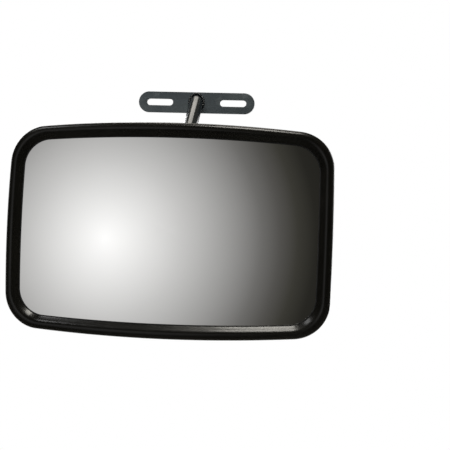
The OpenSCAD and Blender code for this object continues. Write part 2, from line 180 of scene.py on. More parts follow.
FINISH_VALUES = {
    "plate_steel": dict(
        dark=(0.040, 0.053, 0.064), light=(0.085, 0.102, 0.108), rough=(0.32, 0.46), metal=0.4,
        coat=0.25, coat_rough=0.3, patch=13, grain=900, grain_depth=0.12,
        wear=((0.15, 0.17, 0.18), 0.4)),
    "black_gloss_paint": dict(
        dark=(0.004, 0.006, 0.008), light=(0.009, 0.012, 0.014), rough=(0.18, 0.28), coat=0.35,
        coat_rough=0.08, spec=0.4, patch=22, grain=420, grain_depth=0.05,
        wear=((0.03, 0.035, 0.04), 0.25)),
    "black_plastic": dict(
        dark=(0.008, 0.009, 0.010), light=(0.014, 0.015, 0.016), rough=(0.28, 0.4), coat=0.15,
        patch=60, grain=1800, grain_depth=0.1),
    "liner_plastic": dict(
        dark=(0.03, 0.03, 0.03), light=(0.05, 0.05, 0.05), rough=(0.55, 0.7), patch=80, grain=1500,
        grain_depth=0.15),
    "clamp_paint": dict(
        dark=(0.016, 0.017, 0.018), light=(0.026, 0.027, 0.029), rough=(0.4, 0.52), coat=0.2,
        coat_rough=0.35, patch=45, grain=1300, grain_depth=0.4, wear=((0.10, 0.10, 0.10), 0.3)),
    "zinc_fastener": dict(
        dark=(0.50, 0.51, 0.52), light=(0.68, 0.68, 0.66), rough=(0.24, 0.4), metal=1.0, patch=120,
        grain=2600, grain_depth=0.12, wear=((0.42, 0.41, 0.36), 0.5)),
    "friction_nylon": dict(
        dark=(0.62, 0.61, 0.55), light=(0.74, 0.72, 0.66), rough=(0.4, 0.55), patch=70, grain=1200,
        grain_depth=0.12, wear=((0.42, 0.41, 0.38), 0.3)),
    "yoke_paint": dict(
        dark=(0.016, 0.017, 0.018), light=(0.026, 0.027, 0.029), rough=(0.36, 0.5), coat=0.25,
        coat_rough=0.3, patch=40, grain=1300, grain_depth=0.35, wear=((0.12, 0.12, 0.12), 0.3)),
    "knob_plastic": dict(
        dark=(0.012, 0.012, 0.013), light=(0.020, 0.020, 0.022), rough=(0.42, 0.55), patch=90,
        grain=2200, grain_depth=0.45),
    "insert_brass": dict(
        dark=(0.55, 0.38, 0.16), light=(0.72, 0.54, 0.27), rough=(0.22, 0.36), metal=1.0, patch=150,
        grain=2400, grain_depth=0.1, stretch=(4, 1, 1)),
    "backing_steel": dict(
        dark=(0.44, 0.45, 0.46), light=(0.60, 0.61, 0.62), rough=(0.3, 0.45), metal=1.0, patch=55,
        grain=700, grain_depth=0.08),
    "black_screw": dict(
        dark=(0.02, 0.02, 0.022), light=(0.05, 0.05, 0.052), rough=(0.3, 0.45), metal=0.8, patch=180,
        grain=2600, grain_depth=0.15, wear=((0.2, 0.2, 0.2), 0.4)),
    "cover_plastic": dict(
        dark=(0.016, 0.016, 0.017), light=(0.025, 0.025, 0.026), rough=(0.42, 0.56), patch=14,
        grain=1400, grain_depth=0.35, wear=((0.045, 0.045, 0.047), 0.3)),
    "frame_plastic": dict(
        dark=(0.0034, 0.0032, 0.0024), light=(0.0058, 0.0054, 0.0042), rough=(0.24, 0.34), coat=0.10,
        spec=0.20, coat_rough=0.12, patch=9, grain=500, grain_depth=0.012,
        wear=((0.010, 0.009, 0.007), 0.25)),
    "gasket_rubber": dict(
        dark=(0.005, 0.005, 0.005), light=(0.012, 0.012, 0.012), rough=(0.5, 0.7), patch=40,
        grain=1500, grain_depth=0.3),
    "mirror_acrylic": dict(
        dark=(0.90, 0.90, 0.895), light=(0.925, 0.923, 0.918), rough=(0.015, 0.045), metal=1.0,
        patch=6, grain=18, grain_depth=0.006),
    "sheet_plastic": dict(
        dark=(0.24, 0.23, 0.21), light=(0.32, 0.31, 0.28), rough=(0.5, 0.65), patch=20, grain=500,
        grain_depth=0.15),
    "foam_grey": dict(
        dark=(0.14, 0.14, 0.16), light=(0.22, 0.22, 0.24), rough=(0.8, 0.95), patch=200, grain=1600,
        grain_depth=0.9),
}
FINISHES = {name: finish(name, **values) for name, values in FINISH_VALUES.items()}

# ---- Making pieces ----


def piece(name, verts, faces, body, slot_name, nodes, sharp=38.0, weld=0.0):
    """A closed mesh, in the row frame, that rides on a body and stands for CAD nodes.

    Edges sharper than sharp degrees stay crisp; points closer than weld are joined."""
    mesh = bpy.data.meshes.new(name)
    mesh.from_pydata([tuple(v) for v in verts], [], [tuple(f) for f in faces])
    work = bmesh.new()
    work.from_mesh(mesh)
    if weld:
        bmesh.ops.remove_doubles(work, verts=work.verts, dist=weld)
    bmesh.ops.recalc_face_normals(work, faces=work.faces)
    work.to_mesh(mesh)
    work.free()
    mesh.shade_smooth()
    mesh.set_sharp_from_angle(angle=math.radians(sharp))
    mesh.materials.append(FINISHES[slot_name])
    made = bpy.data.objects.new(name, mesh)
    bpy.context.scene.collection.objects.link(made)
    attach(made, body)
    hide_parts(*nodes)


def merged(parts):
    """Several (verts, faces) as one."""
    verts, faces = [], []
    for part_verts, part_faces in parts:
        first = len(verts)
        verts += [tuple(v) for v in part_verts]
        faces += [tuple(first + i for i in f) for f in part_faces]
    return verts, faces


def moved(part, matrix):
    """A (verts, faces) carried by a matrix."""
    verts, faces = part
    return [matrix @ Vector(v) for v in verts], faces


def skin(rings, loop=False, flat_ends=False):
    """Quads between rings of equal length. loop joins the last ring to the first, else each end is
    closed: by a fan from its middle, or by one flat face."""
    count = len(rings[0])
    verts = [tuple(point) for row in rings for point in row]
    faces = []
    for j in range(len(rings) if loop else len(rings) - 1):
        a, b = j * count, (j + 1) % len(rings) * count
        faces += [(a + i, a + (i + 1) % count, b + (i + 1) % count, b + i) for i in range(count)]
    if loop:
        return verts, faces
    for j in (0, len(rings) - 1):
        if flat_ends:
            faces.append(tuple(range(j * count, (j + 1) * count)))
        else:
            centre = tuple(np.mean(np.array([tuple(p) for p in rings[j]]), axis=0))
            verts.append(centre)
            last = len(verts) - 1
            faces += [(j * count + i, j * count + (i + 1) % count, last) for i in range(count)]
    return verts, faces


def lathe(profile, steps=64, closed=False, slit=0.0):
    """Turns (radius, height) points about Z. closed joins the profile's ends; slit leaves an open angle."""
    turn = 2 * math.pi - slit
    count = steps + 1 if slit else steps
    angles = [slit / 2 + turn * i / steps for i in range(count)]
    sections = [[(r * math.cos(g), r * math.sin(g), z) for g in angles] for r, z in profile]
    if not slit:
        return skin(sections, loop=closed)
    return skin([[section[i] for section in sections] for i in range(count)], flat_ends=True)


def hexagon(across_flats, height, bore=0.0):
    """A hexagon head or nut along +Z, its far end chamfered, with a round bore where it is a nut."""
    steps = 48
    apothem = across_flats / 2
    crown = apothem * 0.93
    angles = [2 * math.pi * i / steps for i in range(steps)]
    reach = [apothem / math.cos((g + math.pi / 6) % (math.pi / 3) - math.pi / 6) for g in angles]

    def row(radii, heights):
        return [(r * math.cos(g), r * math.sin(g), z) for r, g, z in zip(radii, angles, heights)]

    def circle(r, z):
        return row([r] * steps, [z] * steps)

    drop = [(r - crown) * math.tan(math.radians(30)) for r in reach]
    rings = [row(reach, [0.0] * steps), row(reach, [height - d for d in drop]), circle(crown, height)]
    if bore:
        lip = bore * 1.12
        rings += [circle(lip, height), circle(bore, height - lip + bore), circle(bore, 0.0)]
        return skin(rings, loop=True)
    dish = crown * 0.72
    return skin(rings + [circle(dish, height), circle(dish * 0.93, height - 0.0003)])


def washer(inner, outer, thick):
    """A flat ring with softened edges, along +Z."""
    soft = min(thick * 0.3, 0.0003)
    return lathe([(inner, soft), (inner + soft, 0), (outer - soft, 0), (outer, soft), (outer, thick - soft),
                  (outer - soft, thick), (inner + soft, thick), (inner, thick - soft)], closed=True)


def threaded(radius, start, stop, pitch):
    """Profile of a shank's threaded end along +Z: rings of the thread's pitch."""
    root = radius * 0.88
    points = []
    z = start
    while z < stop - pitch:
        points += [(radius, z), (radius, z + pitch * 0.15), (root, z + pitch * 0.5), (root, z + pitch * 0.6)]
        z += pitch
    return points + [(radius, z), (radius * 0.85, stop)]


def flat_bar(loops, thick, soft):
    """A plate of those outlines, the holes' among them, with rounded edges, centred on its thickness."""
    curve = bpy.data.curves.new("outline", "CURVE")
    curve.dimensions = "2D"
    curve.fill_mode = "BOTH"
    for loop in loops:
        spline = curve.splines.new("POLY")
        spline.points.add(len(loop) - 1)
        for point, (x, y) in zip(spline.points, loop):
            point.co = (x, y, 0, 1)
        spline.use_cyclic_u = True
    curve.extrude = thick / 2 - soft
    curve.bevel_depth = soft
    curve.bevel_resolution = 3
    curve.offset = -soft
    holder = bpy.data.objects.new("outline", curve)
    bpy.context.scene.collection.objects.link(holder)
    bpy.context.view_layer.update()
    graph = bpy.context.evaluated_depsgraph_get()
    mesh = bpy.data.meshes.new_from_object(holder.evaluated_get(graph))
    verts = [v.co.copy() for v in mesh.vertices]
    faces = [tuple(p.vertices) for p in mesh.polygons]
    bpy.data.objects.remove(holder)
    bpy.data.curves.remove(curve)
    bpy.data.meshes.remove(mesh)
    return verts, faces


def axes(origin, x, y, z):
    """Matrix that carries local X, Y and Z to those directions at origin."""
    return Matrix.Translation(origin) @ Matrix((x, y, z)).transposed().to_4x4()


X, Y, Z = Vector((1, 0, 0)), Vector((0, 1, 0)), Vector((0, 0, 1))
tube_back = tube_up.cross(X)
at_clamp = axes(clamp_at, X, tube_back, tube_up)
ALONG_Y = Matrix.Rotation(-math.pi / 2, 4, "X")
AGAINST_Y = Matrix.Rotation(math.pi / 2, 4, "X")


def arc(centre, radius, start, stop, count):
    """Points along an arc, without its last one."""
    return [(centre[0] + radius * math.cos(start + (stop - start) * i / count),
             centre[1] + radius * math.sin(start + (stop - start) * i / count)) for i in range(count)]


# ---- Outline of the head: eight tangent arcs ----
SIDE_STEPS, CORNER_STEPS, TOP_STEPS = 12, 20, 26
LOOP = 4 * (SIDE_STEPS + CORNER_STEPS + TOP_STEPS)


def band_loop(inset):
    """The outline that far inside the frame's outer edge: (x, z) rows from the right, anticlockwise."""
    k = inset / BAND_W
    a, b = head_half[0] - inset, head_half[1] - inset
    bow_a = OUTER_BOW[0] + (INNER_BOW[0] - OUTER_BOW[0]) * k
    bow_b = OUTER_BOW[1] + (INNER_BOW[1] - OUTER_BOW[1]) * k
    r = OUTER_CORNER + (INNER_CORNER - OUTER_CORNER) * k
    side_r = (b * b + bow_a * bow_a) / (2 * bow_a)
    top_r = (a * a + bow_b * bow_b) / (2 * bow_b)
    side_c, top_c = np.array([a - side_r, 0]), np.array([0, b - top_r])
    d = np.linalg.norm(side_c - top_c)
    e = (side_c - top_c) / d
    t = (d * d + (top_r - r) ** 2 - (side_r - r) ** 2) / (2 * d)
    h = math.sqrt((top_r - r) ** 2 - t * t)
    c = top_c + e * t + h * np.array([e[1], -e[0]])
    side_end = math.atan2(c[1] - side_c[1], c[0] - side_c[0])
    top_end = math.atan2(c[1] - top_c[1], c[0] - top_c[0])
    quarter = np.array(
        arc(side_c, side_r, 0, side_end, SIDE_STEPS) + arc(c, r, side_end, top_end, CORNER_STEPS)
        + arc(top_c, top_r, top_end, math.pi / 2, TOP_STEPS) + [(0, b)])
    flip_x, flip_z = np.array([-1, 1]), np.array([1, -1])
    return np.vstack([quarter, quarter[-2::-1] * flip_x, -quarter[1:], quarter[-2:0:-1] * flip_z])


def sag(points):
    """How far the sphere falls back from its front point at each (x, z)."""
    return SPHERE_R - np.sqrt(SPHERE_R ** 2 - np.sum(points ** 2, axis=1))


def on_sphere(loop, depth):
    """The loop laid on the reflecting face's sphere, that far behind it, in the row frame."""
    return np.column_stack([loop[:, 0], apex_y + sag(loop) + depth, loop[:, 1] + head_z])


def ring(inset, depth):
    """The outline at an inset, that far behind the reflecting face's sphere."""
    return on_sphere(band_loop(inset), depth)


def level(loop, y):
    """The loop in the plane at y, in the row frame."""
    return np.column_stack([loop[:, 0], np.full(len(loop), y), loop[:, 1] + head_z])


def make_bezel():
    """The moulded frame: skirt, rounded shoulder, crown, inner slope and lip, each point (inset, depth)."""
    crown_in = 0.007
    lip_back = -0.001
    flange_in = 0.0082
    flange_back = FLANGE_FRONT - 0.0001
    section = [(0.003, SKIRT_H), (0.0006, SKIRT_H), (0.0, SKIRT_H - 0.0006), (0.0, 0.0)]
    section += [(crown_in * (1 - math.cos(g)), -SHOULDER - (CROWN_H - SHOULDER) * math.sin(g))
                for g in (math.pi / 2 * i / 12 for i in range(13))]
    section += [(crown_in + 0.001 + (BAND_W - crown_in - 0.002) * k,
                 -CROWN_H + (CROWN_H - 0.0018) * k * k * (1.6 - 0.6 * k)) for k in np.linspace(0, 1, 13)]
    section += [(BAND_W - 0.0008, -0.0015), (BAND_W - 0.001, -0.0011), (0.0185, lip_back),
                (flange_in, lip_back), (flange_in, flange_back), (0.003, flange_back)]
    part = skin([ring(*point) for point in section], loop=True)
    piece("bezel_moulding", *part, "head", "frame_plastic", ["bezel_frame"], sharp=50)


def make_gasket():
    """Rubber channel round the mirror's edge, with a rounded bead where it shows."""
    outer_in, inner_in, leg_in = 0.0086, 0.00985, 0.016
    wall = 0.0007
    back = SHEET_BACK + 0.0003
    section = [(outer_in, -0.00085), (0.0190, -0.00085)]
    section += [(0.0198 + 0.0008 * math.sin(g), -0.0005 - 0.00035 * math.cos(g))
                for g in np.linspace(0, math.pi, 9)]
    section += [(inner_in, -0.00015), (inner_in, back), (leg_in, back), (leg_in, back + wall),
                (outer_in, back + wall)]
    part = skin([ring(*point) for point in section], loop=True)
    piece("gasket_channel", *part, "head", "gasket_rubber", ["edge_gasket"], sharp=50)


def dome(front, back, rows):
    """A sheet of the mirror's outline that follows the sphere between two depths."""
    edge = band_loop(GLASS_IN)
    scales = np.linspace(0.04, 1, rows)
    behind = [on_sphere(edge * k, back) for k in scales]
    before = [on_sphere(edge * k, front) for k in scales[::-1]]
    return skin(behind + before)


def make_mirror():
    """The reflecting sheet and the protective sheet behind it."""
    piece("mirror_sheet", *dome(0.0, GLASS_T, 26), "head", "mirror_acrylic", ["mirror_face"], sharp=50)
    piece("protective_sheet", *dome(SHEET_FRONT, SHEET_BACK, 14), "head", "sheet_plastic", ["backing_sheet"],
          sharp=50)


def rib_marks(loop, ribs=24):
    """Places round a loop, in its point numbers, dense at each rib; and for each place 1 on a rib, else 0."""
    closed = np.vstack([loop, loop[:1]])
    walked = np.concatenate([[0], np.cumsum(np.linalg.norm(np.diff(closed, axis=0), axis=1))])
    steps = np.array([0, 0.023, 0.034, 0.13, 0.26, 0.38, 0.5, 0.62, 0.74, 0.87, 0.966, 0.977])
    along = (np.arange(ribs)[:, None] + steps).ravel() / ribs * walked[-1]
    return np.interp(along, walked, np.arange(len(walked))), np.tile([1, 1] + [0] * 9 + [1], ribs)


def make_cover():
    """Rear cover: flange, ribbed slope, and a pan with a raised seat for the disc and for each screw."""
    slope_in = 0.017
    edge_in = 0.0034
    seat_r = 0.0385
    screw_seat_h = 0.0019
    pan_scale = 0.56              # the pan's outline over the frame's inner one
    marks, rib = rib_marks(band_loop(slope_in))

    def spaced(loop):
        closed = np.vstack([loop, loop[:1]])
        return np.column_stack([np.interp(marks, np.arange(LOOP + 1), closed[:, c]) for c in (0, 1)])

    def rim_ring(inset, depth):
        return on_sphere(spaced(band_loop(inset)), depth)

    pan = spaced(band_loop(BAND_W) * pan_scale)
    pan_back = pan_y - 0.0001
    low = pan_back - 0.0009

    def circle(r):
        return pan / np.linalg.norm(pan, axis=1)[:, None] * r

    flange_back = FLANGE_FRONT + COVER_T
    rings = [level(pan * 0.03, pan_back - COVER_T), level(pan * 0.98, pan_back - COVER_T),
             rim_ring(slope_in + 0.002, FLANGE_FRONT + 0.006), rim_ring(slope_in, FLANGE_FRONT),
             rim_ring(edge_in, FLANGE_FRONT), rim_ring(edge_in, flange_back - 0.0005),
             rim_ring(edge_in + 0.0005, flange_back), rim_ring(slope_in - 0.0045, flange_back),
             rim_ring(slope_in - 0.0040, flange_back + 0.0003),
             rim_ring(slope_in - 0.0035, flange_back + 0.0012)]
    rim, top = rim_ring(slope_in - 0.001, FLANGE_FRONT + 0.009), level(pan, pan_back)
    # Between the ribs the slope is sunk, from a moulded step near the rim to one near the pan
    steps = [(0, 0), (0.04, 0)] + [(t, 0.0017) for t in (0.055, 0.2, 0.35, 0.5, 0.65, 0.8, 0.9)]
    for t, sunk in steps + [(0.915, 0), (0.96, 0), (0.985, 0)]:
        row = rim + (top - rim) * t
        row[:, 1] -= sunk * (1 - rib)
        rings.append(row)
    rings += [level(pan * 0.995, pan_back), level(pan * 0.96, pan_back), level(pan * 0.952, low),
              level(pan * 0.7, low), level(pan * 0.2 + circle(0.040) * 0.6, low),
              level(circle(seat_r + 0.001), low), level(circle(seat_r), pan_back),
              level(circle(0.030), pan_back), level(circle(0.002), pan_back)]
    parts = [skin(rings)]
    screw_seat = lathe([(NEAR_AXIS, 0), (0.0078, 0), (0.0074, screw_seat_h - 0.0003),
                        (0.0070, screw_seat_h), (NEAR_AXIS, screw_seat_h)], 40)
    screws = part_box("backing_plate_screws")[1]
    screw_head_r = 0.005
    half_x, half_z = screws[0] - screw_head_r, screws[2] - screw_head_r - head_z
    for x in (-half_x, half_x):
        for z in (-half_z, half_z):
            at = Vector((x, pan_back - screw_seat_h, head_z + z))
            parts.append(moved(screw_seat, Matrix.Translation(at) @ ALONG_Y))
    piece("cover_moulding", *merged(parts), "head", "cover_plastic", ["rear_cover"], sharp=25)


def make_wall_plate():
    """Flat bar with full round ends and the two slots of the wall mount."""
    lo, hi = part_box("wall_plate")
    thick = hi[1] - lo[1]
    dims = MOUNTS["wall_slots"]["dims"]

    def stadium(length, width, at, steps=24):
        r, run = width / 2, (length - width) / 2
        right = arc((at + run, 0), r, -math.pi / 2, math.pi / 2, steps)
        left = arc((at - run, 0), r, math.pi / 2, math.pi * 1.5, steps)
        return right + [(at + run, r)] + left + [(at - run, -r)]

    loops = [stadium(hi[0] - lo[0], hi[2] - lo[2], 0.0, 36)]
    for side in (-1, 1):
        loops.append(stadium(dims["slot_length_mm"] * MM, 2 * dims["hole_r_mm"] * MM,
                             side * dims["spacing_x_mm"] * MM / 2))
    part = moved(flat_bar(loops, thick, 0.0006), axes(Vector((0, lo[1] + thick / 2, 0)), X, Z, -Y))
    piece("slotted_plate", *part, "bracket", "plate_steel", ["wall_plate"], weld=1e-6)


def slope_axes(slope):
    """Across and along an arm that falls forward at that slope."""
    return (Vector((0, -math.sin(slope), math.cos(slope))), Vector((0, -math.cos(slope), -math.sin(slope))))


def arm_places(plate_face):
    """Places along the arm's centre line, each with the line's slope there."""
    lower_slope = math.atan2(tube_up[2], tube_up[1])
    bend = lower_slope - UPPER_SLOPE
    start = Vector((0, plate_face, 0))
    across, out = slope_axes(UPPER_SLOPE)
    # Corner of the centre line: where the upper line meets the clamp's line
    gap = clamp_at - start
    reach = (gap[1] * tube_up[2] - gap[2] * tube_up[1]) / (out[1] * tube_up[2] - out[2] * tube_up[1])
    corner = start + out * reach
    tangent = BEND_R * math.tan(bend / 2)
    end_z = tube_lo[2] + tube_r * math.cos(lower_slope)
    lower_len = (corner[2] - end_z) / math.sin(lower_slope)
    places = [(start + out * (reach - tangent) * k, UPPER_SLOPE) for k in np.linspace(0, 1, 14)]
    centre = corner - out * tangent - across * BEND_R
    for k in np.linspace(0, 1, 25)[1:]:
        slope = UPPER_SLOPE + bend * k
        places.append((centre + slope_axes(slope)[0] * BEND_R, slope))
    for k in np.linspace(0, 1, 16)[1:]:
        places.append((corner - tube_up * (tangent + (lower_len - tangent) * k), lower_slope))
    return places


def make_tube(places, plate_face):
    """The bent tube, hollow, its root cut flush with the plate."""
    steps = 56

    def section(at, slope, r, flatten):
        across, line = slope_axes(slope)
        points = [at + X * (r * math.cos(g)) + across * (r * math.sin(g))
                  for g in (2 * math.pi * i / steps for i in range(steps))]
        if flatten:
            points = [p + line * ((plate_face - p[1]) / line[1]) for p in points]
        return points

    outer, inner = ([section(at, slope, r, i == 0) for i, (at, slope) in enumerate(places)]
                    for r in (tube_r, tube_r - TUBE_WALL))
    piece("bent_tube", *skin(outer + inner[::-1], loop=True), "bracket", "black_gloss_paint", ["arm_tube"],
          sharp=50)


def make_weld(root, slope, plate_face):
    """Weld bead with scale-like ripples round the tube's root."""
    ripples, per = 30, 6
    leg = 0.0036
    sunk = 0.0004
    across, line = slope_axes(slope)
    rings = []
    for i in range(ripples * per):
        g = 2 * math.pi * i / (ripples * per)
        radial = X * math.cos(g) + across * math.sin(g)
        foot = root + radial * (tube_r - sunk)
        foot = foot + line * ((plate_face - foot[1]) / line[1])
        outward = Vector((radial[0], 0, radial[2])).normalized()
        size = leg * (0.82 + 0.18 * math.sin(math.pi * ((i % per) / per)) ** 0.6)
        # Uneven from place to place, as a hand-made bead is
        size *= 1 + 0.05 * math.sin(5.3 * g) + 0.04 * math.sin(11.7 * g + 1)
        profile = [foot - outward * sunk]
        for turn in np.linspace(0, math.pi / 2, 8):
            bulge = size * (0.72 + 0.28 * math.sin(2 * turn))
            profile.append(foot + outward * bulge * math.cos(turn) - Y * bulge * math.sin(turn))
        rings.append(profile)
    piece("weld_ripples", *skin(rings, loop=True), "bracket", "black_gloss_paint", ["weld_bead"], sharp=60)


def make_end_cap(end):
    """Domed cap, its plug pushed into the tube's end."""
    plug_r, plug_h = tube_r - TUBE_WALL, 0.012
    profile = [(NEAR_AXIS, plug_h), (plug_r - 0.001, plug_h), (plug_r, plug_h - 0.001), (plug_r, 0.0),
               (tube_r - 0.0008, 0.0), (tube_r - 0.0001, -0.0007)]
    profile += [(tube_r * math.cos(g), -tube_r * math.sin(g))
                for g in np.linspace(0.12, math.pi / 2 - 0.02, 14)]
    part = moved(lathe(profile), axes(end, X, tube_back, tube_up))
    piece("domed_plug", *part, "bracket", "black_plastic", ["tube_end_cap"], sharp=50)


def make_arm():
    """Everything welded or pushed onto the bracket's tube, and the tube."""
    plate_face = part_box("wall_plate")[0][1]
    places = arm_places(plate_face)
    make_tube(places, plate_face)
    make_weld(*places[0], plate_face)
    make_end_cap(places[-1][0])


def make_sleeve():
    """Split liner round the tube, with a flange at each end that holds the clamp."""
    thick = 0.0019
    half = CLAMP_L / 2 + 0.0001
    wall, outer = LINER_R + thick, LINER_R + thick + 0.0025
    soft = 0.0004
    slit_w, slit_r = 0.0016, 0.013
    end = half + thick
    profile = [(LINER_R, -end), (outer - soft, -end), (outer, soft - end), (outer, -half - soft),
               (outer - soft, -half), (wall, -half), (wall, half), (outer - soft, half), (outer, half + soft),
               (outer, end - soft), (outer - soft, end), (LINER_R, end)]
    part = moved(lathe(profile, 72, slit=slit_w / slit_r), at_clamp)
    piece("split_liner", *part, "sleeve", "liner_plastic", ["clamp_sleeve"], sharp=35)


def rounded(corners, steps=8):
    """A closed outline with each (x, y, radius) corner rounded; radius 0 leaves a corner sharp."""
    points = []
    count = len(corners)
    for i, (x, y, r) in enumerate(corners):
        here = Vector((x, y))
        before = (Vector(corners[i - 1][:2]) - here).normalized()
        after = (Vector(corners[(i + 1) % count][:2]) - here).normalized()
        if r == 0:
            points.append((x, y))
            continue
        half = math.acos(max(-1, min(1, before.dot(after)))) / 2
        centre = here + (before + after).normalized() * (r / math.sin(half))
        start, stop = (here + d * (r / math.tan(half)) - centre for d in (before, after))
        turn = start.angle_signed(stop, 0)
        for k in range(steps + 1):
            g = -turn * k / steps
            points.append((centre[0] + start[0] * math.cos(g) - start[1] * math.sin(g),
                           centre[1] + start[0] * math.sin(g) + start[1] * math.cos(g)))
    return points


def jaw_outline():
    """Half of the clamp seen along the tube: a half ring with an ear each side, filleted where they meet."""
    ring_r, bore, ear, reach, split, fillet = 0.019, 0.0131, CLAMP_EAR_T, 0.033, 0.001, 0.004
    mid = math.sqrt((ring_r + fillet) ** 2 - (ear + fillet) ** 2)
    meet = math.atan2(ear + fillet, mid)
    corner = rounded([(reach, split, 0.0008), (reach, ear, 0.0025), (0, ear, 0), (0, split, 0)])
    right = [p for p in corner if p[0] > mid]
    right += arc((mid, ear + fillet), fillet, -math.pi / 2, meet - math.pi, 8)
    over = arc((0, 0), ring_r, meet, math.pi - meet, 40)
    left = [(-x, y) for x, y in reversed(right)]
    low = math.asin(split / bore)
    return right + over + left + arc((0, 0), bore, math.pi - low, low, 40)


def make_jaws():
    """Two cast jaws on the same outline; the front one has a lug for the tilt bolt, with a web under it."""
    half = flat_bar([jaw_outline()], CLAMP_L, 0.0013)
    piece("cast_rear_jaw", *moved(half, at_clamp), "clamp", "clamp_paint", ["clamp_rear_jaw"], weld=1e-6)
    front = moved(half, at_clamp @ Matrix.Rotation(math.pi, 4, "Z"))
    reach = (pivot_at - clamp_at).length
    root, lug_r, lug_w = 0.0165, 0.010, 0.0218
    lug = [(root, -lug_r)] + arc((reach, 0), lug_r, -math.pi / 2, math.pi / 2, 32)
    lug += [(reach, lug_r), (root, lug_r)]
    hole = arc((reach, 0), BOLT_HOLE_R, 0, 2 * math.pi, 32)
    web = rounded([(root, -0.0145, 0), (0.0205, -0.0145, 0.0012), (0.0265, -0.0085, 0.003),
                   (root, -0.0085, 0)])
    place = at_clamp @ axes(Vector((0, 0, 0)), -Y, Z, -X)
    lug_part = moved(flat_bar([lug, hole], lug_w, 0.0010), place)
    web_part = moved(flat_bar([web], 0.006, 0.0010), place)
    piece("cast_front_jaw", *merged([front, lug_part, web_part]), "clamp", "clamp_paint", ["clamp_front_jaw"],
          weld=1e-6)


def make_yoke():
    """A disc with two ears welded to its back."""
    lo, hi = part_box("tilt_yoke")
    disc_r = (hi[0] - lo[0]) / 2
    thick, ear_r, ear_in = 0.003, 0.011, 0.0125
    disc_back = lo[1] + thick
    soft = 0.0006
    slight = soft * 0.3
    weld_len, weld_leg, weld_steps = 0.021, 0.0022, 44
    disc = lathe([(BOLT_HOLE_R, 0), (disc_r - soft, 0), (disc_r - slight, slight), (disc_r, soft),
                  (disc_r, thick - soft), (disc_r - slight, thick - slight), (disc_r - soft, thick),
                  (BOLT_HOLE_R, thick)], 96, closed=True)
    parts = [moved(disc, Matrix.Translation((0, lo[1], pivot_at[2])) @ ALONG_Y)]
    # The ears run 0.8 mm into the disc
    foot = disc_back - pivot_at[1] - 0.0008
    ear = [(foot, -ear_r)] + arc((0, 0), ear_r, -math.pi / 2, math.pi / 2, 32) + [(0, ear_r), (foot, ear_r)]
    bore = arc((0, 0), BOLT_HOLE_R, 0, 2 * math.pi, 32)
    plate = flat_bar([ear, bore], thick, 0.0005)
    for s in (-1, 1):
        parts.append(moved(plate, axes(pivot_at + X * (s * (ear_in + thick / 2)), Y, Z, X)))
        # Fillet weld outside each ear
        x = s * (ear_in + thick)
        ripple = []
        for i in range(weld_steps + 1):
            z = pivot_at[2] - weld_len / 2 + weld_len * i / weld_steps
            size = weld_leg * (0.84 + 0.16 * abs(math.sin(i * 0.9)))
            ripple.append([Vector((x - s * 0.0003, disc_back - 0.0003, z))] + [
                Vector((x + s * size * math.cos(g) * 0.9, disc_back + size * math.sin(g) * 0.9, z))
                for g in np.linspace(0, math.pi / 2, 6)])
        parts.append(skin(ripple))
    piece("welded_yoke", *merged(parts), "yoke", "yoke_paint", ["tilt_yoke"], sharp=20, weld=1e-7)


def make_clamp_fasteners():
    """The clamp's two bolts, each with two washers and a nut."""
    wash, bolt_r, bolt_x, across_flats = 0.0016, 0.003, 0.025, 0.010
    head_y = CLAMP_EAR_T + wash
    thread = threaded(bolt_r, 0.008, 2 * head_y + 0.0065, 0.001)
    shank = lathe([(NEAR_AXIS, 0.0005), (bolt_r, 0.0004), (bolt_r, -0.008)] + [(r, -z) for r, z in thread])
    head = hexagon(across_flats, 0.004)
    nut = hexagon(across_flats, 0.005, bore=bolt_r)
    flat_washer = washer(bolt_r + 0.0002, 0.0062, wash)
    bolts, washers, nuts = [], [], []
    for x in (-bolt_x, bolt_x):
        def at(y, turn):
            return at_clamp @ Matrix.Translation((x, y, 0)) @ turn

        bolts += [moved(head, at(head_y, ALONG_Y)), moved(shank, at(head_y, ALONG_Y))]
        washers += [moved(flat_washer, at(y, ALONG_Y)) for y in (CLAMP_EAR_T, -head_y)]
        nuts.append(moved(nut, at(-head_y, AGAINST_Y)))
    piece("hex_bolts", *merged(bolts), "clamp", "zinc_fastener", ["clamp_bolts"], sharp=28)
    piece("flat_washers", *merged(washers), "clamp", "zinc_fastener", ["clamp_washers"], sharp=28)
    piece("hex_nuts", *merged(nuts), "clamp", "zinc_fastener", ["clamp_nuts"], sharp=28)


